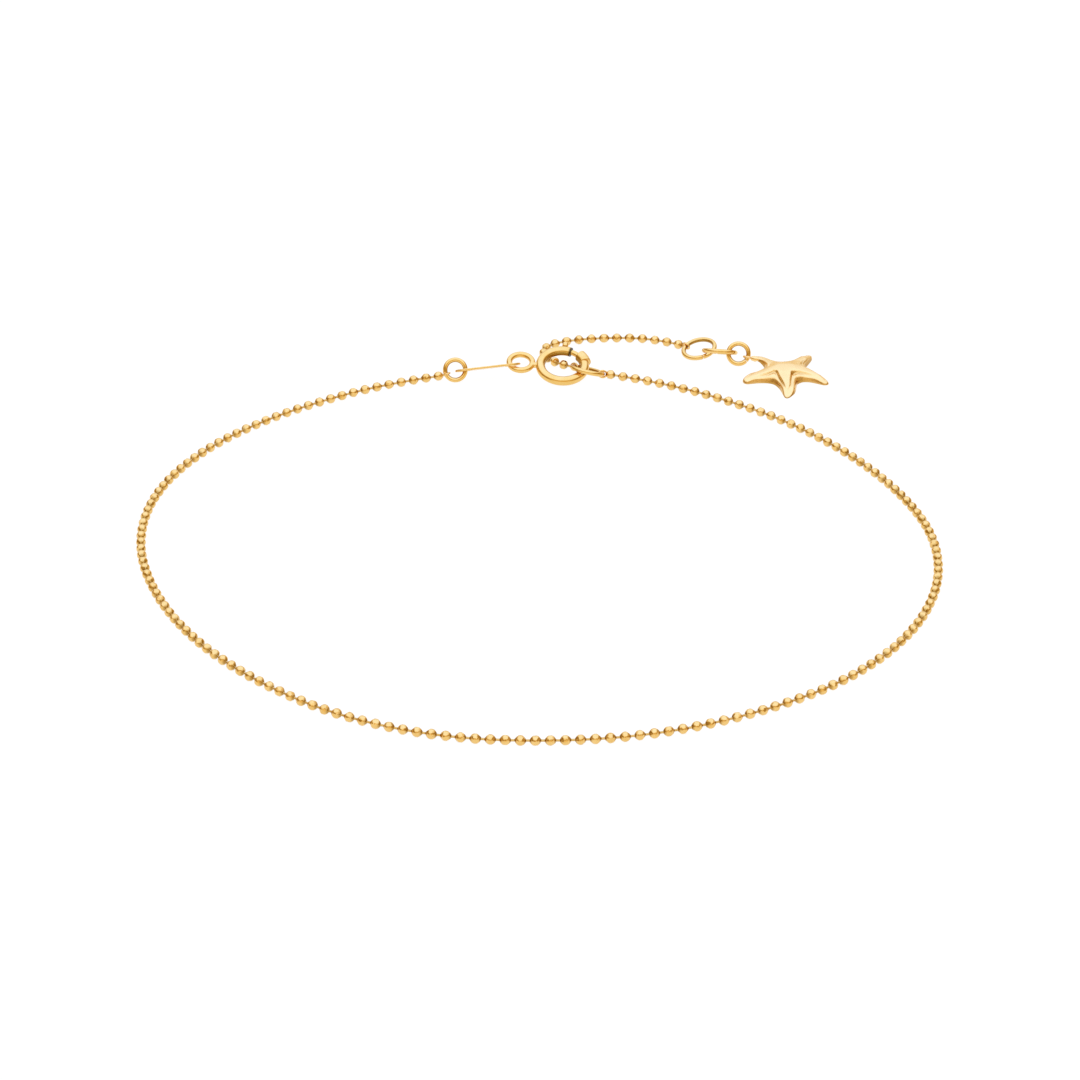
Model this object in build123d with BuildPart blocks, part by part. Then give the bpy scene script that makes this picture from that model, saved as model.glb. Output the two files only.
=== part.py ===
from build123d import *
import os
from math import pi, radians, tan

# Bead-chain anklet lying on a surface: a main chain closed by a spring-ring clasp,
# and a short extension chain that ends in a starfish charm.
# Millimetres, +Z up, the surface is Z = 0, and the main chain's front is towards -Y.

# ---------------------------------------------------------------- driving dimensions
BEAD_DIAMETER = 1.0           # one bead, and so the outside of the bead chain
WIRE = 0.50                   # wire of the jump rings
LOOP_WIRE = 0.20              # fine wire of the loops soldered to the chain ends
LOOP_RADIUS = 0.43            # mean radius of those loops
NECK_DIAMETER = 0.30          # solder neck between a loop and its chain
ARC_SHARE = 0.45              # share of a run that the arc at its end may take

JUMP_RADIUS = 1.08            # mean radii of the rings
CHARM_RING_RADIUS = 1.08
END_RING_RADIUS = 1.66
EXTENSION_RING_RADIUS = 1.70
LINK_RING_RADIUS = 1.69

CLASP_RADIUS = 2.36           # mean radius of the clasp's tube
TUBE_DIAMETER = 1.0
BORE_DIAMETER = 0.70
BOLT_DIAMETER = 0.58
EYELET_RADIUS = 1.23
EYELET_WIRE = 0.64
EYELET_OFFSET = 4.45          # clasp centre to eyelet centre
EYELET_LIFT = 0.35            # how far the eyelet sits to one side of the clasp's middle
SOLDER_OVERLAP = 0.1          # how deep the eyelet's solder runs into the tube
MOUTH_ANGLE = 67              # the clasp's gap runs from SEAT_ANGLE to MOUTH_ANGLE
SEAT_ANGLE = 43
SEAT_DEPTH = 12               # how far the bolt's socket runs past the gap, in degrees
BOLT_OVERLAP = 7              # how far the bolt's tip stands in that socket, in degrees
BOLT_ARC = 78
BORE_ARC = 104
LUG_ARC = 30                  # the thicker end of the tube beyond the gap, in degrees
LUG_DIAMETER = 1.30
LUG_SHIFT = 0.12              # how far the lug stands out past the tube
LUG_ROUND = 0.10
TRIGGER_ANGLE = 85
TRAVEL = 36                   # the bolt's swing, in degrees
SLOT_WIDTH = 0.42
SLOT_MARGIN = 5               # how far the slot runs past the trigger at each end, in degrees
STEM_DIAMETER = 0.30
KNOB_DIAMETER = 0.66
KNOB_HEIGHT = 0.62
KNOB_CLEARANCE = 0.08
KNOB_FILLET = 0.15

TAG_LENGTH = 7.1
TAG_WIDTH = 2.2
TAG_THICKNESS = 0.24
TAG_HOLE_DIAMETER = 1.40
TAG_HOLE_SPACING = 5.1
TAG_EDGE_ROUND = 0.10

STAR_RIM_HEIGHT = 0.45        # upright side of the charm, below its domed top
STAR_HEIGHT = 1.30
BAIL_LEAD = (-2.60, 2.68, 0.85)   # the place in the upper left arm that the bail leads to
BAIL_NECK = 0.50              # length of the solder neck from the bail into the arm
STAR_LEDGE = 0.04             # how far the dome's foot lies inside the rim
STAR_TOP_INSET = 0.20         # how far the dome's top lies inside the rim

# ---------------------------------------------------------------- where the pieces lie
CLASP_CENTRE = (2.70, 35.33, 1.27)
JUMP_CENTRE = (-8.72, 34.34, 1.27)
END_RING_CENTRE = (5.36, 34.93, 0.91)
EXTENSION_RING_CENTRE = (17.43, 40.71, 0.75)
LINK_RING_CENTRE = (19.59, 39.12, 1.16)
CHARM_RING_CENTRE = (21.58, 38.46, 1.23)
STAR_CENTRE = (26.40, 35.10)

# How each ring lies: its lean, roll and turn in degrees, as ring_plane takes them.
CLASP_LIE = (17.4, 2, 0)
JUMP_LIE = (64.5, 0, 0)
END_RING_LIE = (-20, 11.3, -7.2)
EXTENSION_RING_LIE = (9.9, -11.2, -6)
LINK_RING_LIE = (-26.5, 3, -3.3)
CHARM_RING_LIE = (64.2, 0, 0)
TAG_LEAN = -28

# Where each loop or hole hangs on its ring, as an angle round that ring.
MAIN_START_ANGLE = 4          # on the end ring
MAIN_END_ANGLE = 205          # on the jump ring
EXTENSION_START_ANGLE = 153   # on the end ring
EXTENSION_END_ANGLE = 149     # on the extension ring
STAR_BAIL_ANGLE = -22         # on the charm ring
TAG_ANGLES = (-1, 202)        # on the jump ring and on the eyelet

# The main chain's route on the surface, from the end ring round the front to the jump ring.
MAIN_ROUTE = [
    (7.7, 34.85), (12.6, 33.05), (19.05, 29.3), (26.25, 23.5), (32.4, 15.8), (37.0, 7.1),
    (39.85, -2.5), (39.7, -13.1), (36.2, -23.5), (29.75, -32.3), (21.3, -38.5), (11.5, -42.85),
    (1.1, -44.25), (-9.3, -43.3), (-19.0, -39.15), (-26.95, -32.35), (-33.15, -24.4), (-37.5, -15.1),
    (-39.85, -5.0), (-39.35, 5.6), (-35.45, 15.55), (-28.75, 23.75), (-20.6, 29.9), (-14.5, 33.05),
    (-10.3, 34.5),
]
# The extension's route, from the end ring under the clasp's raised side to its own ring.
EXTENSION_ROUTE = [
    (3.42, 36.20, 0.84), (1.50, 38.00, 0.50), (0.50, 40.10, 0.50), (1.20, 42.30, 0.50),
    (4.10, 43.55, 0.50), (8.40, 44.10, 0.50), (12.90, 43.70, 0.50), (15.75, 42.05, 0.50),
]

# The starfish's outline about its centre, from the right arm's near side round by the far side.
STAR_OUTLINE = [
    (1.87, -1.24), (2.46, -1.21), (3.12, -1.42), (3.65, -1.70), (4.12, -1.92), (4.50, -1.84), (4.64, -1.50),
    (4.45, -1.02), (4.00, -0.48), (3.45, 0.02), (2.85, 0.50), (2.38, 0.92), (2.20, 1.35),
    (2.32, 1.85), (2.58, 2.40), (2.84, 2.98), (3.06, 3.52), (3.10, 3.92), (2.80, 4.12),
    (2.35, 3.95), (1.88, 3.45), (1.40, 2.85), (0.93, 2.35), (0.40, 2.02),
    (-0.25, 1.90), (-0.80, 2.02), (-1.28, 2.35), (-1.75, 2.85), (-2.25, 3.22), (-2.80, 3.32), (-3.22, 3.22),
    (-3.36, 2.98), (-3.20, 2.76), (-2.82, 2.64), (-2.48, 2.38), (-2.20, 1.95), (-2.02, 1.45), (-2.08, 1.02),
    (-2.50, 0.62), (-3.05, 0.26), (-3.65, -0.06), (-4.20, -0.46), (-4.50, -0.95), (-4.40, -1.42),
    (-4.05, -1.66), (-3.55, -1.58), (-3.00, -1.46), (-2.40, -1.42), (-1.80, -1.46), (-1.32, -1.66),
    (-0.98, -2.10), (-0.70, -2.75), (-0.50, -3.50), (-0.34, -4.30), (-0.18, -4.90), (0.06, -5.12),
    (0.38, -4.88), (0.74, -4.30), (0.96, -3.80), (1.11, -3.05), (1.20, -2.25), (1.36, -1.65),
]

BEAD_RADIUS = BEAD_DIAMETER / 2

os.makedirs("parts", exist_ok=True)


def save(part, name):
    """Label one finished piece and write it as a STEP file of that name."""
    part.label = name
    export_step(part, f"parts/{name}.step")


def ring_plane(centre, lie):
    """A level plane with its far edge lifted by lean and its right edge dropped by roll, turned about Z."""
    lean, roll, turn = lie
    across = Vector(1, 0, 0).rotate(Axis.Y, roll).rotate(Axis.Z, turn)
    normal = Vector(0, 0, 1).rotate(Axis.X, lean).rotate(Axis.Y, roll).rotate(Axis.Z, turn)
    return Plane(origin=centre, x_dir=across, z_dir=normal)


def on_ring(plane, radius, angle):
    """The point of a ring's centre line at an angle from its local X."""
    spoke = Vector(radius, 0, 0).rotate(Axis.Z, angle)
    return plane.from_local_coords(spoke)


def loop_plane(hooked_at, wire_direction, leads_to):
    """Plane of a small loop round a wire: square to the wire, but holding the way to its chain."""
    pull = (leads_to - hooked_at).normalized()
    normal = wire_direction - pull * wire_direction.dot(pull)
    return Plane(origin=hooked_at, x_dir=pull, z_dir=normal)


def corner_radii(points):
    """The largest arc that each corner's two runs allow."""
    runs = [(end - start).length for start, end in zip(points, points[1:])]
    radii = []
    for index in range(1, len(points) - 1):
        run_in = points[index] - points[index - 1]
        run_out = points[index + 1] - points[index]
        half_turn = radians(run_in.get_angle(run_out) / 2)
        radii.append(ARC_SHARE * min(runs[index - 1], runs[index]) / tan(half_turn))
    return radii


def bead_chain(name, route, loops):
    """A chain as one tube along its route, with a loop soldered by a short neck at each end."""
    points = [Vector(*place) for place in route]
    radii = corner_radii(points)
    with BuildPart() as chain:
        with BuildLine():
            path = FilletPolyline(*points, radius=radii)
        with BuildSketch(Plane(origin=path @ 0, z_dir=path % 0)) as section:
            Circle(BEAD_RADIUS)
        sweep(path=path)
        swept_volume = chain.part.volume
        with Locations(*loops):
            Torus(LOOP_RADIUS, LOOP_WIRE / 2)
        for loop, chain_end in zip(loops, (points[0], points[-1])):
            loop_rim = loop.origin + loop.x_dir * LOOP_RADIUS
            with BuildSketch(Plane(origin=loop_rim, z_dir=chain_end - loop_rim)):
                Circle(NECK_DIAMETER / 2)
            extrude(amount=(chain_end - loop_rim).length)
    print(f"{name}: length {path.length:.2f}, tightest radius {min(radii):.2f}")
    print(f"  volume {swept_volume:.3f} against section x length {section.sketch.area * path.length:.3f}")
    save(chain.part, name)


def round_ring(name, plane, radius, wire):
    """A closed jump ring."""
    with BuildPart() as ring:
        with Locations(plane):
            Torus(radius, wire / 2)
    save(ring.part, name)


# ---------------------------------------------------------------- the planes of the rings
clasp_plane = ring_plane(CLASP_CENTRE, CLASP_LIE)
clasp_axis = Axis(clasp_plane.origin, clasp_plane.z_dir)
eyelet_plane = clasp_plane.offset(0)
eyelet_plane.origin = clasp_plane.from_local_coords((-EYELET_OFFSET, EYELET_LIFT, 0))
jump_plane = ring_plane(JUMP_CENTRE, JUMP_LIE)
end_ring_plane = ring_plane(END_RING_CENTRE, END_RING_LIE)
extension_ring_plane = ring_plane(EXTENSION_RING_CENTRE, EXTENSION_RING_LIE)
link_ring_plane = ring_plane(LINK_RING_CENTRE, LINK_RING_LIE)
charm_ring_plane = ring_plane(CHARM_RING_CENTRE, CHARM_RING_LIE)

# ---------------------------------------------------------------- jump rings
round_ring("jump_ring", jump_plane, JUMP_RADIUS, WIRE)
round_ring("end_ring", end_ring_plane, END_RING_RADIUS, WIRE)
round_ring("extension_ring", extension_ring_plane, EXTENSION_RING_RADIUS, WIRE)
round_ring("link_ring", link_ring_plane, LINK_RING_RADIUS, WIRE)
round_ring("charm_ring", charm_ring_plane, CHARM_RING_RADIUS, WIRE)


# ---------------------------------------------------------------- chains
def hook(plane, radius, angle, leads_to):
    """The loop that hangs on a ring at an angle and leads to a chain's end."""
    tangent = on_ring(plane, radius, angle + 90) - plane.origin
    return loop_plane(on_ring(plane, radius, angle), tangent.normalized(), Vector(*leads_to))


main_route = [(x, y, BEAD_RADIUS) for x, y in MAIN_ROUTE]
bead_chain("main_chain", main_route, [
    hook(end_ring_plane, END_RING_RADIUS, MAIN_START_ANGLE, main_route[0]),
    hook(jump_plane, JUMP_RADIUS, MAIN_END_ANGLE, main_route[-1]),
])
bead_chain("extension_chain", EXTENSION_ROUTE, [
    hook(end_ring_plane, END_RING_RADIUS, EXTENSION_START_ANGLE, EXTENSION_ROUTE[0]),
    hook(extension_ring_plane, EXTENSION_RING_RADIUS, EXTENSION_END_ANGLE, EXTENSION_ROUTE[-1]),
])


# ---------------------------------------------------------------- spring-ring clasp
def spoke_plane(angle):
    """A plane through the clasp's axis: local X points outward at the angle, local Y along the axis."""
    outward = (on_ring(clasp_plane, 1, angle) - clasp_plane.origin).normalized()
    return Plane(origin=clasp_plane.origin, x_dir=outward, z_dir=outward.cross(clasp_plane.z_dir))


with BuildPart() as clasp_body:
    # the curved tube, open at the gap
    with BuildSketch(spoke_plane(MOUTH_ANGLE)):
        with Locations((CLASP_RADIUS, 0)):
            Circle(TUBE_DIAMETER / 2)
    revolve(axis=clasp_axis, revolution_arc=360 - (MOUTH_ANGLE - SEAT_ANGLE))
    # the thicker, rounded end of the tube beyond the gap
    with BuildSketch(spoke_plane(SEAT_ANGLE - LUG_ARC)):
        with Locations((CLASP_RADIUS + LUG_SHIFT, 0)):
            Circle(LUG_DIAMETER / 2)
    revolve(axis=clasp_axis, revolution_arc=LUG_ARC)
    lug_rims = [edge for edge in clasp_body.edges().filter_by(GeomType.CIRCLE)
                if abs(edge.radius - LUG_DIAMETER / 2) < 0.001]
    fillet(lug_rims, radius=LUG_ROUND)
    # the bore that the bolt slides back into, and the socket that its tip enters
    for start, arc in ((MOUTH_ANGLE, BORE_ARC), (SEAT_ANGLE - SEAT_DEPTH, SEAT_DEPTH)):
        with BuildSketch(spoke_plane(start)):
            with Locations((CLASP_RADIUS, 0)):
                Circle(BORE_DIAMETER / 2)
        revolve(axis=clasp_axis, revolution_arc=arc, mode=Mode.SUBTRACT)
    # the trigger's slot in the outer wall
    with BuildSketch(spoke_plane(TRIGGER_ANGLE - SLOT_MARGIN)):
        with Locations((CLASP_RADIUS + TUBE_DIAMETER / 2, 0)):
            Rectangle(TUBE_DIAMETER, SLOT_WIDTH)
    revolve(axis=clasp_axis, revolution_arc=TRAVEL + 2 * SLOT_MARGIN, mode=Mode.SUBTRACT)
    # the soldered eyelet and the solder between it and the tube
    with Locations(eyelet_plane):
        Torus(EYELET_RADIUS, EYELET_WIRE / 2)
    solder_start = CLASP_RADIUS + TUBE_DIAMETER / 2 - SOLDER_OVERLAP
    solder_end = EYELET_OFFSET - EYELET_RADIUS
    with BuildSketch(Plane(origin=clasp_plane.from_local_coords((-solder_start, 0, 0)),
                           z_dir=-clasp_plane.x_dir)):
        Circle(EYELET_WIRE / 2)
    extrude(amount=solder_end - solder_start)
save(clasp_body.part, "clasp_body")

trigger_plane = Plane(origin=on_ring(clasp_plane, CLASP_RADIUS, TRIGGER_ANGLE),
                      z_dir=on_ring(clasp_plane, 1, TRIGGER_ANGLE) - clasp_plane.origin)
knob_start = TUBE_DIAMETER / 2 + KNOB_CLEARANCE

with BuildPart() as clasp_bolt:
    # the curved bolt, with its tip across the gap
    with BuildSketch(spoke_plane(SEAT_ANGLE - BOLT_OVERLAP)):
        with Locations((CLASP_RADIUS, 0)):
            Circle(BOLT_DIAMETER / 2)
    revolve(axis=clasp_axis, revolution_arc=BOLT_ARC)
    # the trigger: a stem through the slot, and a rounded knob outside it
    with BuildSketch(trigger_plane):
        Circle(STEM_DIAMETER / 2)
    extrude(amount=knob_start + KNOB_HEIGHT / 2)
    with BuildSketch(trigger_plane.offset(knob_start)):
        Circle(KNOB_DIAMETER / 2)
    extrude(amount=KNOB_HEIGHT)
    knob_rims = [edge for edge in clasp_bolt.edges().filter_by(GeomType.CIRCLE)
                 if abs(edge.length - KNOB_DIAMETER * pi) < 0.001]
    fillet(knob_rims, radius=KNOB_FILLET)
save(clasp_bolt.part, "clasp_bolt")

# ---------------------------------------------------------------- bare tag plate
tag_left = on_ring(jump_plane, JUMP_RADIUS, TAG_ANGLES[0])
tag_right = on_ring(eyelet_plane, EYELET_RADIUS, TAG_ANGLES[1])
tag_width_direction = Vector(0, 1, 0).rotate(Axis.X, TAG_LEAN)
tag_plane = Plane(origin=(tag_left + tag_right) * 0.5, x_dir=tag_right - tag_left,
                  z_dir=(tag_right - tag_left).cross(tag_width_direction))

with BuildPart() as tag_plate:
    with BuildSketch(tag_plane):
        SlotOverall(TAG_LENGTH, TAG_WIDTH)
        with Locations((-TAG_HOLE_SPACING / 2, 0), (TAG_HOLE_SPACING / 2, 0)):
            Circle(TAG_HOLE_DIAMETER / 2, mode=Mode.SUBTRACT)
    extrude(amount=TAG_THICKNESS / 2, both=True)
    fillet(tag_plate.edges().filter_by(Axis(tag_plane.origin, tag_plane.z_dir), reverse=True),
           radius=TAG_EDGE_ROUND)
save(tag_plate.part, "tag_plate")


# ---------------------------------------------------------------- starfish charm
def star_sketch(height, inset):
    """One level outline of the charm, drawn in by inset."""
    drawn_in = []
    for index, place in enumerate(STAR_OUTLINE):
        before, after = STAR_OUTLINE[index - 1], STAR_OUTLINE[(index + 1) % len(STAR_OUTLINE)]
        along = (Vector(*after) - Vector(*before)).normalized()
        drawn_in.append(Vector(*place) + Vector(-along.Y, along.X) * inset)
    with BuildSketch(Plane(origin=(*STAR_CENTRE, height))) as level:
        with BuildLine():
            Polyline(*drawn_in, close=True)
        make_face()
    return level.sketch


star_outline = star_sketch(0, 0)
dome_foot = star_sketch(STAR_RIM_HEIGHT, STAR_LEDGE)
dome_top = star_sketch(STAR_HEIGHT, STAR_TOP_INSET)
bail_lead = Vector(*STAR_CENTRE) + Vector(*BAIL_LEAD)
bail_plane = hook(charm_ring_plane, CHARM_RING_RADIUS, STAR_BAIL_ANGLE, bail_lead)
bail_rim = bail_plane.origin + bail_plane.x_dir * LOOP_RADIUS

with BuildPart() as starfish_charm:
    # the upright rim, and the domed top on it
    extrude(star_outline, amount=STAR_RIM_HEIGHT)
    loft([dome_foot, dome_top], ruled=True)
    # the bail round the charm ring's wire, soldered to the upper left arm by a short neck
    with Locations(bail_plane):
        Torus(LOOP_RADIUS, LOOP_WIRE / 2)
    with BuildSketch(Plane(origin=bail_rim, z_dir=bail_plane.x_dir)):
        Circle(NECK_DIAMETER / 2)
    extrude(amount=BAIL_NECK)
save(starfish_charm.part, "starfish_charm")

print(f"clasp pivot {clasp_plane.origin}, axis {clasp_plane.z_dir}")
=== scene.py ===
import math
import random

import bpy
import numpy as np
from mathutils import Matrix, Quaternion, Vector
from mathutils.geometry import delaunay_2d_cdt


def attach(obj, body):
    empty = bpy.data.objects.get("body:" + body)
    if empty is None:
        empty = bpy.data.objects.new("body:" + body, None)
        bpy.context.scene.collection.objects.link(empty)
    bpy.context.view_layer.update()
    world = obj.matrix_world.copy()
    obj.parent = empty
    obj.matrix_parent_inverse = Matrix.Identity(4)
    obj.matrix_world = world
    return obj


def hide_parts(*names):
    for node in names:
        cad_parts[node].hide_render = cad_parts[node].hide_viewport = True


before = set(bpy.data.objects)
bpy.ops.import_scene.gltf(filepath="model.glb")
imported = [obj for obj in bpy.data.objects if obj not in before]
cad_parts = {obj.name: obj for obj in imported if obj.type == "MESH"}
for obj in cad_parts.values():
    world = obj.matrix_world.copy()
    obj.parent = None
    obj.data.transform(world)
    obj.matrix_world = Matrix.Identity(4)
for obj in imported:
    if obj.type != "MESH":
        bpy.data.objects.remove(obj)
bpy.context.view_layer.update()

MM = 0.001
SEED = 7
BODY = "anklet"
CHAIN_SMOOTH_ANGLE = 22       # low, so that the edges of the beads' cuts show
SMOOTH_ANGLE = 50

# ---------------------------------------------------------------- camera, floor and light
CAMERA_PLACE = (0.0003, -0.45609, 0.23540)
CAMERA_PITCH = 27.43          # degrees below level
LENS = 170                    # millimetres
SENSOR_WIDTH = 36             # millimetres
FLOOR_SIZE = 6.0              # metres
FLOOR_COLOUR = (0.08, 0.08, 0.08, 1)
FLOOR_ROUGHNESS = 0.9
FLOOR_GLOW = 0.96             # the light table's own light
LIGHT_STRENGTH = 2.25

# ---------------------------------------------------------------- chains (metres)
# each chain's line is a smooth curve with these as its control points; the CAD's line has the
# same points, with rounded corners
MAIN_ROUTE = [
    (0.0077, 0.03485), (0.0126, 0.03305), (0.01905, 0.0293), (0.02625, 0.0235),
    (0.0324, 0.0158), (0.0370, 0.0071), (0.03985, -0.0025), (0.0397, -0.0131),
    (0.0362, -0.0235), (0.02975, -0.0323), (0.0213, -0.0385), (0.0115, -0.04285),
    (0.0011, -0.04425), (-0.0093, -0.0433), (-0.0190, -0.03915), (-0.02695, -0.03235),
    (-0.03315, -0.0244), (-0.0375, -0.0151), (-0.03985, -0.0050), (-0.03935, 0.0056),
    (-0.03545, 0.01555), (-0.02875, 0.02375), (-0.0206, 0.0299), (-0.0145, 0.03305),
    (-0.0103, 0.0345),
]
EXTENSION_ROUTE = [
    (0.00342, 0.03620, 0.00084), (0.00150, 0.03800, 0.00050), (0.00050, 0.04010, 0.00050),
    (0.00120, 0.04230, 0.00050), (0.00410, 0.04355, 0.00050), (0.00840, 0.04410, 0.00050),
    (0.01290, 0.04370, 0.00050), (0.01575, 0.04205, 0.00050),
]
BEAD_RADIUS = 0.50 * MM
MAIN_BEADS = 165
MAIN_START_GAP = 0.14 * MM    # from the line's end to the first bead's middle
MAIN_END_GAP = 0.24 * MM
EXTENSION_BEADS = 16
EXTENSION_START_GAP = 0.82 * MM
EXTENSION_END_GAP = 0.58 * MM
NECK_RADIUS = 0.12 * MM       # the wire that the beads are strung on
NECK_STEP = 0.35 * MM
NECK_SIDES = 10
NECK_SHADE_AMOUNT = 0.5            # how much painted shade the wire between the beads gets, from 0 to 1
LINE_STEPS = 40               # straight pieces to each span of a line


# ---------------------------------------------------------------- small mesh tools
def soft(low, high, value):
    """0 below low, 1 above high, and a smooth rise between them."""
    share = np.clip((value - low) / (high - low), 0, 1)
    return share * share * (3 - 2 * share)


def any_square_to(direction):
    """A direction square to this one."""
    reference = Vector((0, 0, 1)) if abs(direction.z) < 0.9 else Vector((1, 0, 0))
    return (reference - direction * reference.dot(direction)).normalized()


def tube(points, radius, sides, closed=False):
    """Vertices and faces of a round tube along points, with one radius or one for each point."""
    count = len(points)
    radii = radius if isinstance(radius, (list, tuple)) else [radius] * count
    tangents = []
    for i in range(count):
        before = points[i - 1] if (closed or i > 0) else points[i]
        after = points[(i + 1) % count] if (closed or i < count - 1) else points[i]
        tangents.append((after - before).normalized())
    normal = any_square_to(tangents[0])
    verts, faces = [], []
    for i in range(count):
        normal = (normal - tangents[i] * normal.dot(tangents[i])).normalized()
        binormal = tangents[i].cross(normal)
        for j in range(sides):
            angle = 2 * math.pi * j / sides
            outward = normal * math.cos(angle) + binormal * math.sin(angle)
            verts.append(points[i] + outward * radii[i])
    shift = 0
    if closed:
        # the frame has turned on the way round: join each ring end to its nearest start
        last, first = verts[-sides], verts[:sides]
        shift = min(range(sides), key=lambda k: (first[k] - last).length)
    spans = count if closed else count - 1
    for i in range(spans):
        nxt = (i + 1) % count
        turn = shift if (closed and i == count - 1) else 0
        for j in range(sides):
            k = (j + 1) % sides
            faces.append((i * sides + j, i * sides + k,
                          nxt * sides + (k + turn) % sides, nxt * sides + (j + turn) % sides))
    if not closed:
        faces.append(tuple(reversed(range(sides))))
        faces.append(tuple(range((count - 1) * sides, count * sides)))
    return verts, faces


def make_piece(name, shells, material, smooth_angle, body=BODY):
    """One mesh object from several shells, riding on a body.

    A shell is its vertices and faces, and it may give each vertex an amount of painted shade. Edges
    that bend by more than the smooth angle, in degrees, stay sharp."""
    verts, faces, painted_shade = [], [], []
    for shell_verts, shell_faces, *painted_shading in shells:
        start = len(verts)
        verts += shell_verts
        painted_shade += painted_shading[0] if painted_shading else [0.0] * len(shell_verts)
        faces += [tuple(index + start for index in face) for face in shell_faces]
    mesh = bpy.data.meshes.new(name)
    mesh.from_pydata([tuple(v) for v in verts], [], faces)
    mesh.validate()
    mesh.attributes.new("painted_shade", "FLOAT", "POINT").data.foreach_set("value", painted_shade)
    mesh.polygons.foreach_set("use_smooth", [True] * len(mesh.polygons))
    piece = bpy.data.objects.new(name, mesh)
    bpy.context.scene.collection.objects.link(piece)
    mesh.materials.append(material)
    bpy.context.view_layer.objects.active = piece
    piece.select_set(True)
    mesh.set_sharp_from_angle(angle=math.radians(smooth_angle))
    piece.select_set(False)
    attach(piece, body)
    return piece


# ---------------------------------------------------------------- where rings lie
def ring_axes(lie):
    """Across and far directions of a ring that lies with a lean, a roll and a turn, in degrees."""
    lean, roll, turn = (math.radians(angle) for angle in lie)
    stand = Matrix.Rotation(turn, 3, "Z") @ Matrix.Rotation(roll, 3, "Y")
    across = stand @ Vector((1, 0, 0))
    normal = stand @ Matrix.Rotation(lean, 3, "X") @ Vector((0, 0, 1))
    return across, normal.cross(across)


def on_ring(centre, lie, radius, angle):
    """The place on a ring's middle line at an angle in degrees, from across towards far."""
    across, far = ring_axes(lie)
    turn = math.radians(angle)
    return Vector(centre) + (across * math.cos(turn) + far * math.sin(turn)) * radius


# the clasp's tube, as the CAD has it
CLASP_CENTRE = (0.00270, 0.03533, 0.00127)
CLASP_LIE = (17.4, 2, 0)
CLASP_RADIUS = 2.36 * MM      # its middle line
CLASP_INSIDE = 1.86 * MM
CLASP_FADE = 0.18 * MM        # how far outwards the painted shade of its inner side fades
MOUTH_ANGLE = 67
MOUTH_DARK = 0.50 * MM        # the dark round its mouth reaches this far,
MOUTH_FADE = 0.56 * MM        # and is gone here
MOUTH = on_ring(CLASP_CENTRE, CLASP_LIE, CLASP_RADIUS, MOUTH_ANGLE)


# ---------------------------------------------------------------- materials
DRIFT_SCALE = 900             # noise cells to the metre, for the drift between the two tones
DRIFT_DETAIL = 3
GRAIN_DETAIL = 4
GRAIN_LOW, GRAIN_HIGH = 0.3, 0.7   # most of the fine noise lies between these
ROUGH_SPREAD = 0.06           # how far roughness goes to either side
PLAIN_GRAIN = 3000            # fine noise cells to the metre on the plain metal
PLAIN_BUMP = 0.15

# deep tones, pale tones, and the painted shade colour that each darkens to
DEEP, PALE = (0.79, 0.48, 0.10), (0.91, 0.625, 0.255)
CLASP_INNER_SHADE = (0.38, 0.20, 0.02)
RING_PAINTED_SHADE = (0.42, 0.23, 0.04)
MOUTH_SHADOW = (0.05, 0.022, 0.002)   # the dark band at the mouth of the clasp's tube
# the beads' cuts catch the light each in its own way, so their tones lie further apart
CHAIN_DEEP, CHAIN_PALE = (0.76, 0.45, 0.11), (0.94, 0.66, 0.27)
CHAIN_PAINTED_SHADE = (0.46, 0.26, 0.06)
SATIN_DEEP, SATIN_PALE = (0.90, 0.60, 0.24), (0.96, 0.68, 0.30)
SATIN_PAINTED_SHADE = (0.55, 0.30, 0.06)


def node(tree, kind, **settings):
    """A new node of a kind, with its settings."""
    made = tree.nodes.new(kind)
    for key, value in settings.items():
        setattr(made, key, value)
    return made


def darkened(tree, colour, shade, amount):
    """A colour that goes over to a shade by an amount from 0 to 1."""
    darken = node(tree, "ShaderNodeMix", data_type="RGBA")
    darken.inputs["B"].default_value = (*shade, 1)
    tree.links.new(amount, darken.inputs["Factor"])
    tree.links.new(colour, darken.inputs["A"])
    return darken.outputs["Result"]


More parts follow.
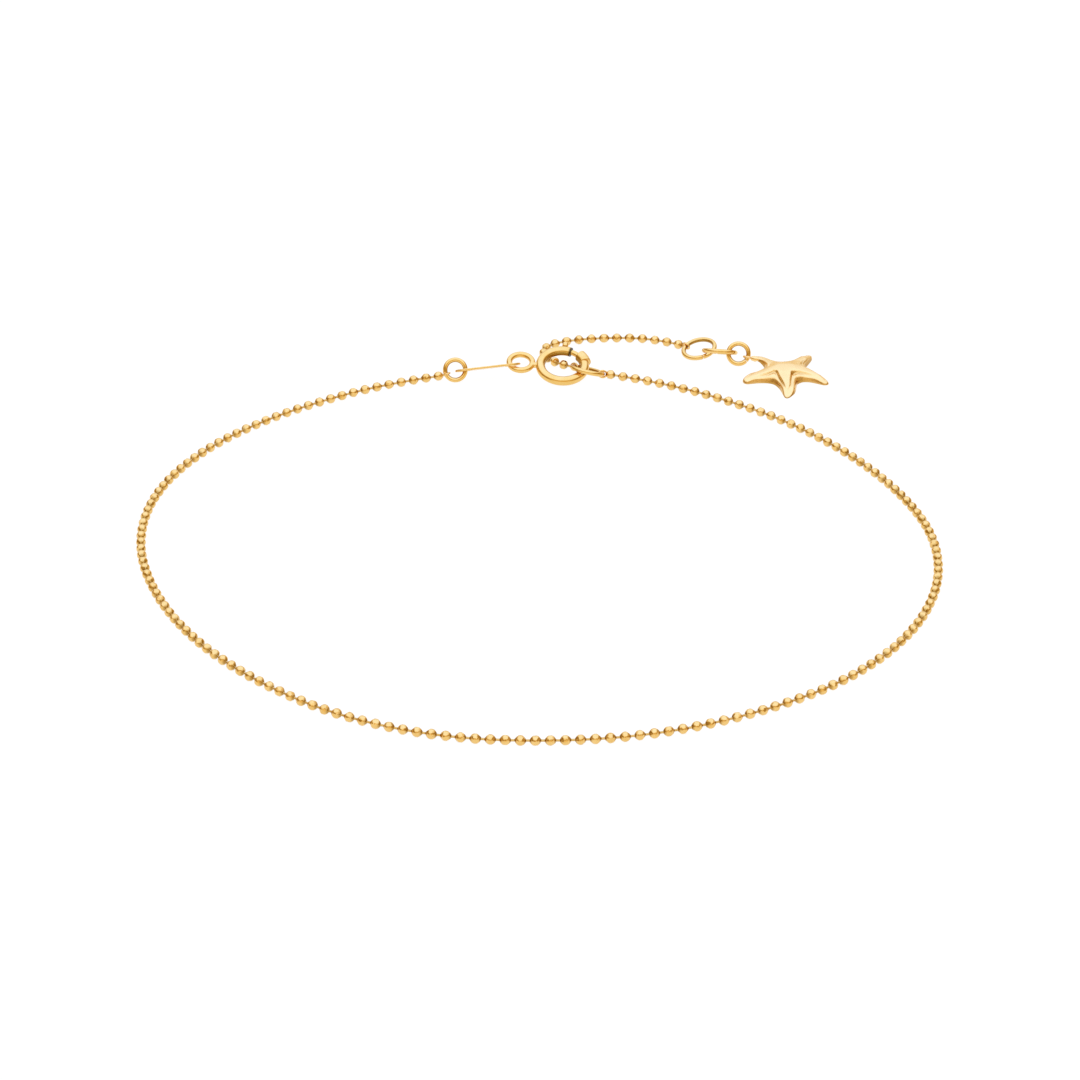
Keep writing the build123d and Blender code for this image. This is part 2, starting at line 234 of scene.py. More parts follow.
def gold(name, deep, pale, roughness, grain=PLAIN_GRAIN, bump=PLAIN_BUMP, painted_shade_colour=None, shaded=(),
         depth=0.01 * MM):
    """Plated gold: two tones that drift with a noise, and a fine grain in its roughness and bump.

    Where the mesh has painted shade, it darkens to the painted shade colour. Around the middle of each
    shaded place it goes over to that place's painted shade, from the far distance in to the near one."""
    material = bpy.data.materials.new(name)
    material.use_nodes = True
    tree = material.node_tree
    shader = tree.nodes["Principled BSDF"]
    shader.inputs["Metallic"].default_value = 1.0
    place = node(tree, "ShaderNodeTexCoord")
    drift = node(tree, "ShaderNodeTexNoise")
    drift.inputs["Scale"].default_value = DRIFT_SCALE
    drift.inputs["Detail"].default_value = DRIFT_DETAIL
    tree.links.new(place.outputs["Object"], drift.inputs["Vector"])
    tone = node(tree, "ShaderNodeMix", data_type="RGBA")
    tone.inputs["A"].default_value = (*deep, 1)
    tone.inputs["B"].default_value = (*pale, 1)
    tree.links.new(drift.outputs["Fac"], tone.inputs["Factor"])
    colour = tone.outputs["Result"]
    # painted shade: the colour darkens where the mesh's painted shade attribute is set
    if painted_shade_colour:
        painted_shading = node(tree, "ShaderNodeAttribute", attribute_name="painted_shade")
        colour = darkened(tree, colour, painted_shade_colour, painted_shading.outputs["Fac"])
    for middle, near, far, shade in shaded:
        away = node(tree, "ShaderNodeVectorMath", operation="DISTANCE")
        away.inputs[1].default_value = middle
        tree.links.new(place.outputs["Object"], away.inputs[0])
        closeness = node(tree, "ShaderNodeMapRange")
        closeness.inputs["From Min"].default_value = far
        closeness.inputs["From Max"].default_value = near
        tree.links.new(away.outputs["Value"], closeness.inputs["Value"])
        colour = darkened(tree, colour, shade, closeness.outputs["Result"])
    tree.links.new(colour, shader.inputs["Base Color"])
    fine = node(tree, "ShaderNodeTexNoise")
    fine.inputs["Scale"].default_value = grain
    fine.inputs["Detail"].default_value = GRAIN_DETAIL
    tree.links.new(place.outputs["Object"], fine.inputs["Vector"])
    spread = node(tree, "ShaderNodeMapRange")
    spread.inputs["From Min"].default_value = GRAIN_LOW
    spread.inputs["From Max"].default_value = GRAIN_HIGH
    spread.inputs["To Min"].default_value = roughness - ROUGH_SPREAD
    spread.inputs["To Max"].default_value = roughness + ROUGH_SPREAD
    tree.links.new(fine.outputs["Fac"], spread.inputs["Value"])
    tree.links.new(spread.outputs["Result"], shader.inputs["Roughness"])
    relief = node(tree, "ShaderNodeBump")
    relief.inputs["Strength"].default_value = bump
    relief.inputs["Distance"].default_value = depth
    tree.links.new(fine.outputs["Fac"], relief.inputs["Height"])
    tree.links.new(relief.outputs["Normal"], shader.inputs["Normal"])
    return material


chain_gold = gold("chain_gold", CHAIN_DEEP, CHAIN_PALE, roughness=0.16, grain=3400, bump=0.8,
                  painted_shade_colour=CHAIN_PAINTED_SHADE, depth=0.04 * MM)
ring_gold = gold("ring_gold", DEEP, PALE, roughness=0.15, painted_shade_colour=RING_PAINTED_SHADE)
# painted shade darkens the clasp's tube on its inner side, and a painted shadow lies round its mouth
clasp_gold = gold("clasp_gold", DEEP, PALE, roughness=0.16,
                  shaded=((CLASP_CENTRE, CLASP_INSIDE, CLASP_INSIDE + CLASP_FADE, CLASP_INNER_SHADE),
                          (MOUTH, MOUTH_DARK, MOUTH_FADE, MOUTH_SHADOW)))
bolt_gold = gold("bolt_gold", DEEP, PALE, roughness=0.16)
tag_gold = gold("tag_gold", DEEP, PALE, roughness=0.17, bump=0.2)
satin_gold = gold("satin_gold", SATIN_DEEP, SATIN_PALE, roughness=0.27, grain=7000, bump=0.4,
                  painted_shade_colour=SATIN_PAINTED_SHADE)


# ---------------------------------------------------------------- chains
def spline_points(name, points):
    """Points along the smooth NURBS curve that has the route as its control points."""
    curve = bpy.data.curves.new(name, "CURVE")
    curve.dimensions = "3D"
    curve.resolution_u = LINE_STEPS
    spline = curve.splines.new("NURBS")
    spline.points.add(len(points) - 1)
    for control, place in zip(spline.points, points):
        control.co = (*place, 1)
    spline.order_u = 3
    spline.use_endpoint_u = True
    holder = bpy.data.objects.new(name, curve)
    bpy.context.scene.collection.objects.link(holder)
    bpy.context.view_layer.update()
    line = bpy.data.meshes.new_from_object(holder)
    found = [v.co.copy() for v in line.vertices]
    bpy.data.meshes.remove(line)
    bpy.data.objects.remove(holder)
    bpy.data.curves.remove(curve)
    return found


class Line:
    """A line that gives its place and direction at a distance from its start."""

    def __init__(self, points):
        self.points = points
        self.reach = [0.0]
        for a, b in zip(points, points[1:]):
            self.reach.append(self.reach[-1] + (b - a).length)
        self.length = self.reach[-1]

    def at(self, distance):
        low, high = 0, len(self.points) - 1
        while high - low > 1:
            middle = (low + high) // 2
            if self.reach[middle] <= distance:
                low = middle
            else:
                high = middle
        span = self.reach[high] - self.reach[low]
        share = (distance - self.reach[low]) / span
        return (self.points[low].lerp(self.points[high], share),
                (self.points[high] - self.points[low]).normalized())


# half of a bead's outline: distance from its middle and radius, both in bead radii
BEAD_OUTLINE = [(0.0, 1.0), (0.16, 0.99), (0.33, 0.945), (0.50, 0.87), (0.66, 0.755), (0.80, 0.61),
                (0.92, 0.44), (1.0, 0.31), (1.07, 0.235)]
BEAD_SIDES = 24
BEAD_SHADE_SPAN = (0.60, 0.98)   # painted shade darkens it between these distances from its middle, in bead radii
BEAD_WOBBLE = 0.06            # how far its direction strays
BEAD_LENGTH = (1.0, 1.04)     # its length and girth vary within these shares
BEAD_GIRTH = (0.99, 1.01)
# flat cuts round the middle, and round each end: how many, how far they stray round the bead in
# radians, and how far out they lie in bead radii
MIDDLE_CUTS, MIDDLE_STRAY, MIDDLE_REACH = 8, 0.25, (0.925, 0.985)
END_CUTS, END_STRAY, END_REACH = 6, 0.2, (0.90, 0.97)
END_TILT = (30, 48)           # how far the end cuts lean towards the end, in degrees


def bead(centre, direction, rng, length, girth):
    """A diamond-cut ball: turned about the chain's direction, then cut flat here and there."""
    across = any_square_to(direction)
    across.rotate(Quaternion(direction, rng.uniform(0, math.pi)))
    up = direction.cross(across)
    outline = [(-x, r) for x, r in reversed(BEAD_OUTLINE[1:])] + BEAD_OUTLINE
    cuts = []
    for k in range(MIDDLE_CUTS):
        angle = math.pi * 2 * k / MIDDLE_CUTS + rng.uniform(-MIDDLE_STRAY, MIDDLE_STRAY)
        cuts.append((Vector((0, math.cos(angle), math.sin(angle))), rng.uniform(*MIDDLE_REACH)))
    for side in (-1, 1):
        for k in range(END_CUTS):
            # the cuts at one end fall between those at the other
            angle = (math.pi * 2 * (k + 0.5 * (side + 1) / 2) / END_CUTS
                     + rng.uniform(-END_STRAY, END_STRAY))
            tilt = math.radians(rng.uniform(*END_TILT))
            cuts.append((Vector((side * math.sin(tilt), math.cos(tilt) * math.cos(angle),
                                 math.cos(tilt) * math.sin(angle))), rng.uniform(*END_REACH)))
    verts, faces, painted_shade = [], [], []
    for x, r in outline:
        # painted shade towards the bead's ends, where its neighbours shade it
        painted_shade += [float(soft(*BEAD_SHADE_SPAN, abs(x)))] * BEAD_SIDES
        for j in range(BEAD_SIDES):
            angle = 2 * math.pi * j / BEAD_SIDES
            local = Vector((x, r * math.cos(angle), r * math.sin(angle)))
            for facing, reach in cuts:
                over = local.dot(facing) - reach
                if over > 0:
                    local -= facing * over
            verts.append(centre + (direction * local.x * length + across * local.y * girth
                                   + up * local.z * girth) * BEAD_RADIUS)
    rings = len(outline)
    for i in range(rings - 1):
        for j in range(BEAD_SIDES):
            k = (j + 1) % BEAD_SIDES
            faces.append((i * BEAD_SIDES + j, (i + 1) * BEAD_SIDES + j,
                          (i + 1) * BEAD_SIDES + k, i * BEAD_SIDES + k))
    faces.append(tuple(range(BEAD_SIDES)))
    faces.append(tuple(reversed(range((rings - 1) * BEAD_SIDES, rings * BEAD_SIDES))))
    return verts, faces, painted_shade


def bead_chain(name, route, count, start_gap, end_gap, node_name, extra):
    """A chain's beads on their wire, with extra shells such as its end loops."""
    rng = random.Random(SEED)
    line = Line(spline_points(name + "_line", route))
    pitch = (line.length - start_gap - end_gap) / (count - 1)
    shells = []
    for index in range(count):
        centre, direction = line.at(start_gap + index * pitch)
        wobble = Vector((rng.uniform(-1, 1), rng.uniform(-1, 1), rng.uniform(-1, 1))) * BEAD_WOBBLE
        shells.append(bead(centre, (direction + wobble).normalized(), rng,
                           length=rng.uniform(*BEAD_LENGTH), girth=rng.uniform(*BEAD_GIRTH)))
    steps = int(line.length / NECK_STEP)
    neck = [line.at(line.length * i / steps)[0] for i in range(steps + 1)]
    neck_verts, neck_faces = tube(neck, NECK_RADIUS, sides=NECK_SIDES)
    # the wire between the beads gets painted shade
    shells.append((neck_verts, neck_faces, [NECK_SHADE_AMOUNT] * len(neck_verts)))
    shells += extra
    piece = make_piece(name, shells, chain_gold, smooth_angle=CHAIN_SMOOTH_ANGLE)
    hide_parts(node_name)
    print("SCENE", name, "pitch mm", round(pitch / MM, 4), "length", round(line.length / MM, 2))


# ---------------------------------------------------------------- rings
RING_STEPS = 96
RING_SIDES = 24
SEAM_GAP = 1.4                # degrees
SEAM_TAPER = 0.86             # the wire's cut ends are this much of its width
INNER_SHADE_SHARE = 0.30          # the share of the wire's width that gets painted shade, from the inside out
LOOP_STEPS = 32
LOOP_SIDES = 12
LOOP_HALF_LENGTH = 0.43       # millimetres
LOOP_HALF_WIDTH = 0.36
HOOK_SIDES = 16


def wire_ring(centre, lie, radius, wire, seam):
    """A wire ring with a hairline cut at the seam angle, and painted shade on its inner side."""
    points = []
    for i in range(RING_STEPS + 1):
        angle = seam + SEAM_GAP / 2 + (360 - SEAM_GAP) * i / RING_STEPS
        points.append(on_ring(centre, lie, radius, angle))
    radii = [wire / 2] * (RING_STEPS + 1)
    radii[0] = radii[-1] = wire / 2 * SEAM_TAPER
    verts, faces = tube(points, radii, sides=RING_SIDES)
    inner = radius - wire / 2
    # painted shade on the wire's inner side, inside the ring
    painted_shade = []
    for v in verts:
        depth = ((v - Vector(centre)).length - inner) / wire
        painted_shade.append(1 - float(soft(0.0, INNER_SHADE_SHARE, depth)))
    return verts, faces, painted_shade


def loop_round(place, pull, along, half_length, half_width, wire):
    """A small oval loop round a wire, drawn out along pull."""
    along = (along - pull * along.dot(pull)).normalized()
    up = pull.cross(along)
    points = []
    for i in range(LOOP_STEPS):
        angle = 2 * math.pi * i / LOOP_STEPS
        points.append(place + pull * math.cos(angle) * half_length + up * math.sin(angle) * half_width)
    return tube(points, wire / 2, sides=LOOP_SIDES, closed=True)


RINGS = {
    # name: centre in metres, lie in degrees, mean radius and wire in mm, seam angle
    "jump_ring": ((-0.00872, 0.03434, 0.00127), (64.5, 0, 0), 1.08, 0.50, 200),
    "end_ring": ((0.00536, 0.03493, 0.00091), (-20, 11.3, -7.2), 1.66, 0.50, 2),
    "extension_ring": ((0.01743, 0.04071, 0.00075), (9.9, -11.2, -6), 1.70, 0.50, 287),
    "link_ring": ((0.01959, 0.03912, 0.00116), (-26.5, 3, -3.3), 1.69, 0.50, 100),
    "charm_ring": ((0.02158, 0.03846, 0.00123), (64.2, 0, 0), 1.08, 0.50, 316),
}
for ring_name, (centre, lie, radius, wire, seam) in RINGS.items():
    ring = make_piece(ring_name + "_wire", [wire_ring(centre, lie, radius * MM, wire * MM, seam)],
                      ring_gold, smooth_angle=SMOOTH_ANGLE)
    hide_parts(ring_name)


def hook(ring_name, angle, leads_to, neck_radii=(0.13, 0.13), wire=0.20):
    """A loop that hangs on a ring at an angle, and its neck to the place it leads to.

    The neck's radii, from the loop on, and the loop's wire are in millimetres."""
    centre, lie, radius, _, _ = RINGS[ring_name]
    place = on_ring(centre, lie, radius * MM, angle)
    a_little_on = angle + 2
    along = on_ring(centre, lie, radius * MM, a_little_on) - place
    pull = (Vector(leads_to) - place).normalized()
    rim = place + pull * LOOP_HALF_LENGTH * MM
    last = len(neck_radii) - 1
    neck = [rim.lerp(Vector(leads_to), i / last) for i in range(last + 1)]
    return [loop_round(place, pull, along, LOOP_HALF_LENGTH * MM, LOOP_HALF_WIDTH * MM, wire * MM),
            tube(neck, [neck_radius * MM for neck_radius in neck_radii], sides=HOOK_SIDES)]


# where each chain's loops hang on their rings, in degrees
MAIN_START_ANGLE = 4
MAIN_END_ANGLE = 205
EXTENSION_START_ANGLE = 153
EXTENSION_END_ANGLE = 149
# the main chain's beads lie on the surface
main_points = [(x, y, BEAD_RADIUS) for x, y in MAIN_ROUTE]
bead_chain("main_chain_beads", main_points, MAIN_BEADS, MAIN_START_GAP, MAIN_END_GAP, "main_chain",
           hook("end_ring", MAIN_START_ANGLE, main_points[0])
           + hook("jump_ring", MAIN_END_ANGLE, main_points[-1]))
bead_chain("extension_chain_beads", EXTENSION_ROUTE, EXTENSION_BEADS, EXTENSION_START_GAP,
           EXTENSION_END_GAP, "extension_chain",
           hook("end_ring", EXTENSION_START_ANGLE, EXTENSION_ROUTE[0])
           + hook("extension_ring", EXTENSION_END_ANGLE, EXTENSION_ROUTE[-1]))

# ---------------------------------------------------------------- starfish charm
STAR_CENTRE = (0.02640, 0.03510)   # metres
# the two tables and the sizes after them are in millimetres about the centre; the tables go
# from the right arm's near side round by the far side
STAR_OUTLINE = [
    (1.87, -1.24), (2.46, -1.21), (3.12, -1.42), (3.65, -1.70), (4.12, -1.92), (4.50, -1.84),
    (4.64, -1.50), (4.45, -1.02), (4.00, -0.48), (3.45, 0.02), (2.85, 0.50), (2.38, 0.92),
    (2.20, 1.35), (2.32, 1.85), (2.58, 2.40), (2.84, 2.98), (3.06, 3.52), (3.10, 3.92),
    (2.80, 4.12), (2.35, 3.95), (1.88, 3.45), (1.40, 2.85), (0.93, 2.35), (0.40, 2.02),
    (-0.25, 1.90), (-0.80, 2.02), (-1.28, 2.35), (-1.75, 2.85), (-2.25, 3.22), (-2.80, 3.32),
    (-3.22, 3.22), (-3.36, 2.98), (-3.20, 2.76), (-2.82, 2.64), (-2.48, 2.38), (-2.20, 1.95),
    (-2.02, 1.45), (-2.08, 1.02), (-2.50, 0.62), (-3.05, 0.26), (-3.65, -0.06), (-4.20, -0.46),
    (-4.50, -0.95), (-4.40, -1.42), (-4.05, -1.66), (-3.55, -1.58), (-3.00, -1.46), (-2.40, -1.42),
    (-1.80, -1.46), (-1.32, -1.66), (-0.98, -2.10), (-0.70, -2.75), (-0.50, -3.50), (-0.34, -4.30),
    (-0.18, -4.90), (0.06, -5.12), (0.38, -4.88), (0.74, -4.30), (0.96, -3.80), (1.11, -3.05),
    (1.20, -2.25), (1.36, -1.65),
]
# the raised star on its top
STAR_RIDGE = [
    (0.78, -0.85), (1.50, -0.62), (2.40, -0.72), (3.30, -1.02), (4.15, -1.42), (3.70, -0.75),
    (3.00, -0.05), (2.30, 0.45), (1.75, 0.95), (2.00, 1.90), (2.45, 2.80), (2.80, 3.60),
    (1.95, 2.90), (1.30, 2.20), (0.50, 1.50), (-0.40, 1.40), (-1.10, 1.70), (-1.90, 2.30),
    (-2.90, 2.90), (-2.30, 1.90), (-1.60, 1.20), (-1.60, 0.70), (-2.40, 0.20), (-3.20, -0.30),
    (-4.10, -1.10), (-3.30, -1.10), (-2.60, -0.98), (-1.90, -0.85), (-1.00, -0.62), (-0.62, -1.70),
    (-0.25, -2.85), (0.08, -4.00), (0.42, -3.30), (0.50, -2.40), (0.62, -1.50),
]
EDGE_HEIGHT = 0.10            # top of the small upright edge
BODY_RISE = 0.76              # how far the body swells above that edge
BODY_REACH = 0.15             # how far in it does most of it on the near side
FAR_REACH = 0.06              # and on the far arms and the tips
TIP_REACH = 0.8               # how much of that change the tips have
TIP_DROP = 0.50               # the share of the swelling that is lost at the tips,
NEAR_TIP_DROP = 0.28          # the further share at the near tip,
THIN_ARM_DROP = 0.85          # and the share at the thin arm's tip
RIDGE_STEP = 0.24             # height of the raised star above the body
GROOVE_DEPTH, GROOVE_AWAY, GROOVE_WIDTH = 0.08, 0.14, 0.12   # the groove that runs beside it
TIP_FADE, FAR_FADE, THIN_FADE = 0.6, 0.6, 0.9   # how much of both is lost in each part
PIT_DEPTH, PIT_PLACE, PIT_WIDTH = 0.12, (0.98, -0.92), 0.26
DOME_HEIGHT, DOME_WIDTH = 0.15, 2.0
THINNING, NEAR_THINNING = 0.05, 0.06   # the share of its height lost with each millimetre out
LEAN, LEAN_START = 0.07, -1.5          # how steeply it leans up, and where that starts
UPPER_LEFT = (-0.68, 0.73)    # the way the thin upper left arm points
ARM_LIFT = 0.52               # how far its tip is lifted by the ring
# the spans over which one part of the star goes over to the next
LIFT_SPAN = (1.9, 4.7)        # along the thin arm
THIN_ARM_SPAN = (2.05, 4.55)
THIN_ROOT_SPAN = (0.8, 2.4)
FAR_SPAN = (0.4, 1.9)         # from the middle to the far side
MIDDLE_SPAN = (0.5, 1.5)
NEAR_TIP_SPAN = (2.6, 4.2)    # from the middle to the near side
ARM_SPAN = (2.2, 4.2)         # outwards, on any arm
OUTER_SPAN = (2.0, 4.4)
TIP_SPAN = (3.4, 4.9)
STEP_SPAN = (-0.06, 0.08)     # inwards over the raised star's edge
STEP_EDGE_SPAN = (0, 0.3)     # inwards from the outline
GROOVE_EDGE_SPAN = (0.05, 0.35)
# where painted shade darkens it
SHADE_PROBE = 0.03          # how far apart two distances to the outline are compared
FACING_SPAN = (0.0, 0.4)      # how squarely the near edge faces the near side
RIM_SPAN = (0.02, 0.13)       # inwards from the outline
SIDE_ARMS_PALER = 0.45        # how much less the side arms' edges darken
SIDE_ARMS_SPAN, SIDE_ARMS_FAR_SPAN = (1.4, 2.8), (0.0, 1.0)
LINE_DARK, LINE_AWAY, LINE_WIDTH = 0.6, 0.05, 0.05   # the painted shade line beside the raised star
LINE_OUT_SPAN, LINE_FAR_SPAN, LINE_EDGE_SPAN = (1.6, 3.4), (-0.2, 0.6), (0.1, 0.3)
# its mesh
OUTLINE_STEPS = 6             # points on its outline from one of the table to the next
STAR_SQUARE = 11              # side of a square that holds it
GRID = 0.09                   # spacing of the points inside, each row set off from the last
ROW_STEP = 0.866              # distance between rows, as a share of the spacing
GRID_MARGIN = 0.36            # how far from the outline they start
INSETS = (0.025, 0.06, 0.11, 0.17, 0.24, 0.32)   # closer rows of points along the outline
INSET_KEPT = 0.97             # left out where they come nearer to the outline than this share
INSIDE_ONLY = 1               # the triangulation's mode
MERGE_DISTANCE = 1e-6


def smooth_loop(points, per_span):
    """A closed smooth line through the points."""
    found = []
    count = len(points)
    points = [np.array(point) for point in points]
    for i in range(count):
        a, b, c, d = (points[(i + k) % count] for k in (-1, 0, 1, 2))
        for step in range(per_span):
            t = step / per_span
            found.append(0.5 * ((2 * b) + (c - a) * t + (2 * a - 5 * b + 4 * c - d) * t * t
                                + (3 * b - a - 3 * c + d) * t ** 3))
    return np.array(found)


def inside_distance(points, loop):
    """Signed distance of points to a closed line, positive inside."""
    start, end = loop, np.roll(loop, -1, axis=0)
    along = end - start
    away = points[:, None, :] - start[None]
    share = np.clip((away * along).sum(-1) / (along * along).sum(-1), 0, 1)
    nearest = np.sqrt(((away - share[..., None] * along) ** 2).sum(-1)).min(1)
    crosses = ((start[None, :, 1] > points[:, None, 1]) != (end[None, :, 1] > points[:, None, 1]))
    rise = np.where(along[:, 1] == 0, 1e-12, along[:, 1])
    at_x = start[:, 0] + (points[:, None, 1] - start[None, :, 1]) * along[:, 0] / rise
    inside = (crosses & (points[:, None, 0] < at_x)).sum(1) % 2 == 1
    return np.where(inside, nearest, -nearest)


def star_underside(points):
    """The charm leans up towards the far side, and its upper left arm is lifted by the ring."""
    along_thin_arm = points @ np.array(UPPER_LEFT)
    return (LEAN * np.clip(points[:, 1] - LEAN_START, 0, None)
            + ARM_LIFT * soft(*LIFT_SPAN, along_thin_arm))


def star_top(points, outline, ridge):
    """Its top: an upright edge, a swelling body, and a raised star with a groove beside it."""
    edge = np.maximum(inside_distance(points, outline), 0)
    raised = inside_distance(points, ridge)
    out = np.sqrt((points ** 2).sum(1))
    along_thin_arm = points @ np.array(UPPER_LEFT)
    thin_arm = soft(*THIN_ARM_SPAN, along_thin_arm)
    far = soft(*FAR_SPAN, points[:, 1])
    near_tip = soft(*NEAR_TIP_SPAN, -points[:, 1])
    tip = soft(*TIP_SPAN, out)
    reach = BODY_REACH + (FAR_REACH - BODY_REACH) * np.maximum(far, TIP_REACH * soft(*ARM_SPAN, out))
    drop = np.maximum((TIP_DROP + NEAR_TIP_DROP * near_tip) * tip, THIN_ARM_DROP * thin_arm)
    body = EDGE_HEIGHT + BODY_RISE * (1 - drop) * (1 - np.exp(-edge / reach))
    fade = ((1 - TIP_FADE * soft(*OUTER_SPAN, out)) * (1 - FAR_FADE * far)
            * (1 - THIN_FADE * soft(*THIN_ROOT_SPAN, along_thin_arm)))
    step = RIDGE_STEP * soft(*STEP_SPAN, raised) * fade * soft(*STEP_EDGE_SPAN, edge)
    groove = (GROOVE_DEPTH * np.exp(-((raised + GROOVE_AWAY) / GROOVE_WIDTH) ** 2) * fade
              * soft(*GROOVE_EDGE_SPAN, edge))
    pit = PIT_DEPTH * np.exp(-((points - np.array(PIT_PLACE)) ** 2).sum(1) / PIT_WIDTH ** 2)
    dome = DOME_HEIGHT * np.exp(-(out / DOME_WIDTH) ** 2)
    thinning = THINNING + NEAR_THINNING * (1 - soft(*MIDDLE_SPAN, points[:, 1]))
    height = (body + step - groove - pit + dome) * (1 - thinning * np.clip(out - 1, 0, None))
    return star_underside(points) + height


def star_painted_shade(points, outline, ridge):
    """How much painted shade its top has: along the near edges, and in the line beside the raised
    star.
    """
    edge = inside_distance(points, outline)
    beyond = inside_distance(points + np.array((0, SHADE_PROBE)), outline)
    near_side = soft(*FACING_SPAN, (beyond - edge) / SHADE_PROBE)
    raised = inside_distance(points, ridge)
    out = np.sqrt((points ** 2).sum(1))
    line = (np.exp(-((raised + LINE_AWAY) / LINE_WIDTH) ** 2) * (1 - soft(*LINE_OUT_SPAN, out))
            * (1 - soft(*LINE_FAR_SPAN, points[:, 1])))
    side_arms = (soft(*SIDE_ARMS_SPAN, np.abs(points[:, 0]))
                 * (1 - soft(*SIDE_ARMS_FAR_SPAN, points[:, 1])))
    rim = (1 - SIDE_ARMS_PALER * side_arms) * (1 - soft(*RIM_SPAN, edge))
    return np.maximum(near_side * rim, LINE_DARK * line * soft(*LINE_EDGE_SPAN, edge))


def starfish():
    """The charm's vertices and faces, and how much painted shade each vertex has."""
    outline = smooth_loop(STAR_OUTLINE, OUTLINE_STEPS)
    ridge = smooth_loop(STAR_RIDGE, OUTLINE_STEPS)
    low = -STAR_SQUARE / 2
    spots = []
    for row in range(int(STAR_SQUARE / (GRID * ROW_STEP))):
        for column in range(int(STAR_SQUARE / GRID)):
            spots.append((low + GRID * (column + 0.5 * (row % 2)), low + GRID * ROW_STEP * row))
    spots = np.array(spots)
    inside = spots[inside_distance(spots, outline) > GRID_MARGIN]
    before, after = np.roll(outline, 1, axis=0), np.roll(outline, -1, axis=0)
    along = (after - before) / np.linalg.norm(after - before, axis=1)[:, None]
    inward = np.stack([-along[:, 1], along[:, 0]], axis=1)
    rings = []
    for inset in INSETS:
        ring = outline + inward * inset
        rings.append(ring[inside_distance(ring, outline) > inset * INSET_KEPT])
    plan = np.concatenate([outline] + rings + [inside])
    edge_count = len(outline)
    placed, _, triangles, origins, _, _ = delaunay_2d_cdt(
        [Vector(p) for p in plan], [], [list(range(edge_count))], INSIDE_ONLY, MERGE_DISTANCE)
    plan = np.array([tuple(p) for p in placed])
    where = {origin[0]: index for index, origin in enumerate(origins)}
    top, under = star_top(plan, outline, ridge), star_underside(plan)
    count = len(plan)
    verts = [Vector((*p, z)) for p, z in zip(plan, top)]
    verts += [Vector((*p, z)) for p, z in zip(plan, under)]
    faces = [tuple(face) for face in triangles]
    faces += [tuple(index + count for index in reversed(face)) for face in triangles]
    for j in range(edge_count):
        a, b = where[j], where[(j + 1) % edge_count]
        faces.append((a, a + count, b + count, b))
    place = Vector((*STAR_CENTRE, 0))
    painted_shade = list(star_painted_shade(plan, outline, ridge)) * 2
    return [place + v * MM for v in verts], faces, painted_shade


BAIL_ANGLE = -22              # where the bail hangs on its ring
BAIL_NECK = (0.24, 0.27, 0.30, 0.31, 0.29, 0.24, 0.18, 0.10)
BAIL_WIRE = 0.26
# where its neck ends inside the thin arm, in metres
BAIL_END = (STAR_CENTRE[0] - 2.60 * MM, STAR_CENTRE[1] + 2.68 * MM, 0.85 * MM)
bail = hook("charm_ring", BAIL_ANGLE, BAIL_END, BAIL_NECK, wire=BAIL_WIRE)
star = make_piece("starfish_sculpt", [starfish()] + bail, satin_gold,
                  smooth_angle=SMOOTH_ANGLE)
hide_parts("starfish_charm")

# ---------------------------------------------------------------- carried-over nodes
for name, material in (("clasp_body", clasp_gold), ("clasp_bolt", bolt_gold), ("tag_plate", tag_gold)):
    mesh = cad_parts[name].data
    mesh.materials.clear()
    mesh.materials.append(material)

# ---------------------------------------------------------------- stage
floor_mesh = bpy.data.meshes.new("floor")
half = FLOOR_SIZE / 2
floor_mesh.from_pydata([(-half, -half, 0), (half, -half, 0), (half, half, 0), (-half, half, 0)], [],
                       [(0, 1, 2, 3)])
floor = bpy.data.objects.new("floor", floor_mesh)
bpy.context.scene.collection.objects.link(floor)
paper = bpy.data.materials.new("paper")
paper.use_nodes = True
paper_inputs = paper.node_tree.nodes["Principled BSDF"].inputs
paper_inputs["Base Color"].default_value = FLOOR_COLOUR
paper_inputs["Roughness"].default_value = FLOOR_ROUGHNESS
paper_inputs["Specular IOR Level"].default_value = 0.0
paper_inputs["Emission Color"].default_value = (1, 1, 1, 1)
paper_inputs["Emission Strength"].default_value = FLOOR_GLOW
floor_mesh.materials.append(paper)

world = bpy.data.worlds.new("studio")
world.use_nodes = True
bpy.context.scene.world = world
sky = world.node_tree
background = sky.nodes["Background"]
direction = node(sky, "ShaderNodeTexCoord")
parts = node(sky, "ShaderNodeSeparateXYZ")
sky.links.new(direction.outputs["Generated"], parts.inputs["Vector"])


def light_ramp(stops):
    """The studio's light on one side, from the floor's level up to overhead."""
    ramp = node(sky, "ShaderNodeValToRGB")
    elements = ramp.color_ramp.elements
    while len(elements) > 1:
        elements.remove(elements[-1])
    elements[0].position, elements[0].color = stops[0][0], (*stops[0][1], 1)
    for position, colour in stops[1:]:
        elements.new(position).color = (*colour, 1)
    sky.links.new(parts.outputs["Z"], ramp.inputs["Fac"])
    return ramp


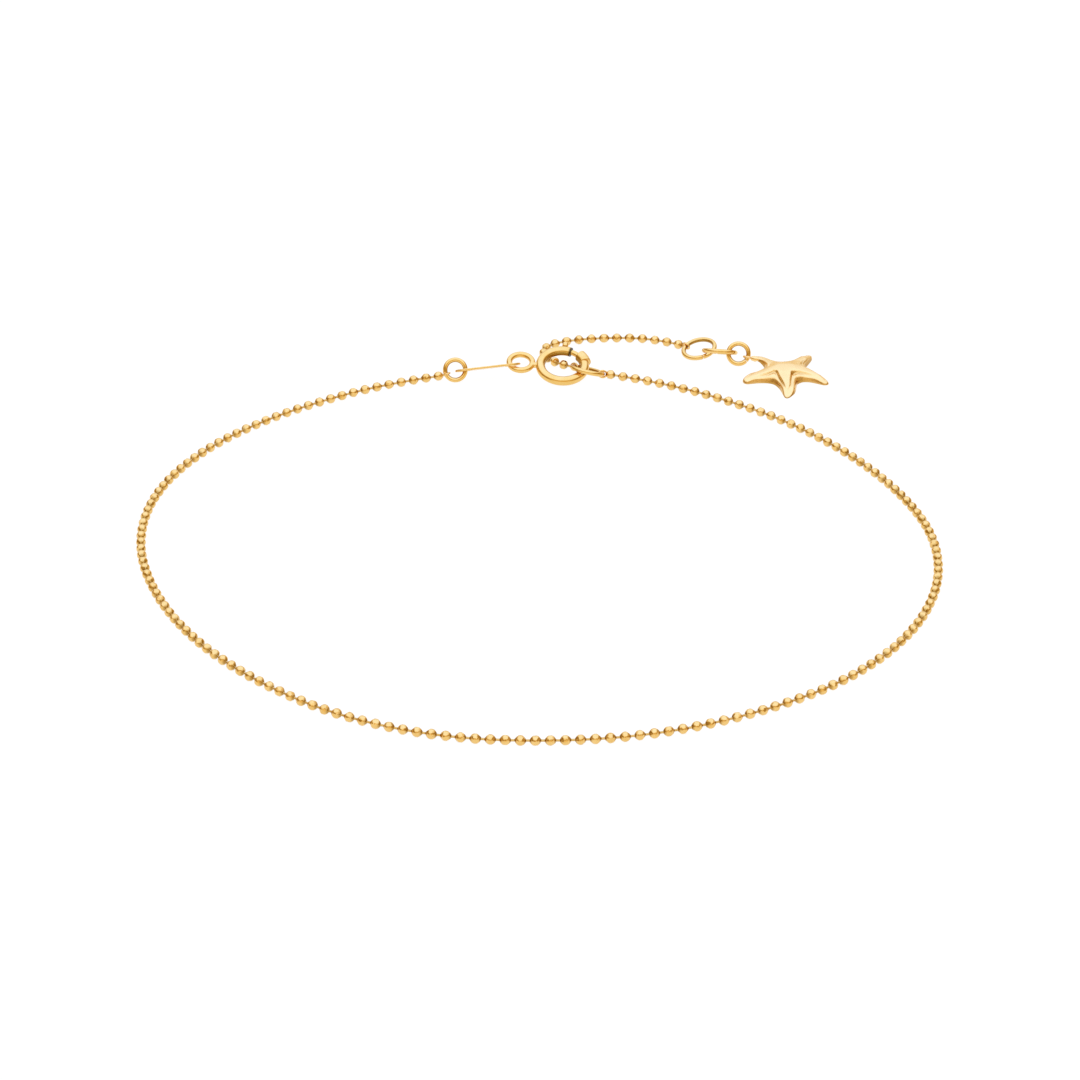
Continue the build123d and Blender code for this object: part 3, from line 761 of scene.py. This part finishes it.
def blend_by(source, low, high, first, second):
    """From the first light to the second as source goes from low to high."""
    share = node(sky, "ShaderNodeMapRange", interpolation_type="SMOOTHSTEP")
    share.inputs["From Min"].default_value = low
    share.inputs["From Max"].default_value = high
    sky.links.new(source, share.inputs["Value"])
    mix = node(sky, "ShaderNodeMix", data_type="RGBA")
    sky.links.new(share.outputs["Result"], mix.inputs["Factor"])
    sky.links.new(first, mix.inputs["A"])
    sky.links.new(second, mix.inputs["B"])
    return mix.outputs["Result"]


SOFTBOX = (0.53, 0.62, 0.90)  # the cool light overhead
# where one side's light goes over to the next, along the direction's y or x
FRONT_TO_BACK = (-0.15, 0.35)
MIDDLE_TO_RIGHT = (0.42, 0.80)
LEFT_TO_MIDDLE = (-0.80, -0.42)
front = light_ramp([
    (0.0, (0.47, 0.40, 0.27)), (0.28, (0.44, 0.35, 0.19)), (0.38, (0.20, 0.125, 0.035)),
    (0.44, (0.17, 0.10, 0.025)), (0.51, (0.46, 0.38, 0.22)), (0.64, (0.56, 0.58, 0.60)),
    (0.82, SOFTBOX),
])
back = light_ramp([
    (0.0, (0.40, 0.33, 0.20)), (0.25, (0.42, 0.38, 0.28)), (0.46, (0.46, 0.52, 0.68)),
    (0.75, SOFTBOX),
])
left = light_ramp([
    (0.0, (0.32, 0.24, 0.11)), (0.15, (0.19, 0.125, 0.035)), (0.38, (0.15, 0.09, 0.02)),
    (0.52, (0.44, 0.36, 0.20)), (0.72, SOFTBOX),
])
right = light_ramp([
    (0.0, (0.38, 0.29, 0.14)), (0.20, (0.22, 0.145, 0.04)), (0.42, (0.18, 0.115, 0.03)),
    (0.58, (0.46, 0.38, 0.24)), (0.76, SOFTBOX),
])
around = blend_by(parts.outputs["Y"], *FRONT_TO_BACK, front.outputs["Color"], back.outputs["Color"])
around = blend_by(parts.outputs["X"], *MIDDLE_TO_RIGHT, around, right.outputs["Color"])
around = blend_by(parts.outputs["X"], *LEFT_TO_MIDDLE, left.outputs["Color"], around)
sky.links.new(around, background.inputs["Color"])
background.inputs["Strength"].default_value = LIGHT_STRENGTH

camera_data = bpy.data.cameras.new("camera")
camera_data.lens = LENS
camera_data.sensor_width = SENSOR_WIDTH
camera = bpy.data.objects.new("camera", camera_data)
camera.location = CAMERA_PLACE
camera.rotation_euler = (math.radians(90 - CAMERA_PITCH), 0, 0)
bpy.context.scene.collection.objects.link(camera)
bpy.context.scene.camera = camera
bpy.context.scene.view_settings.view_transform = "Standard"
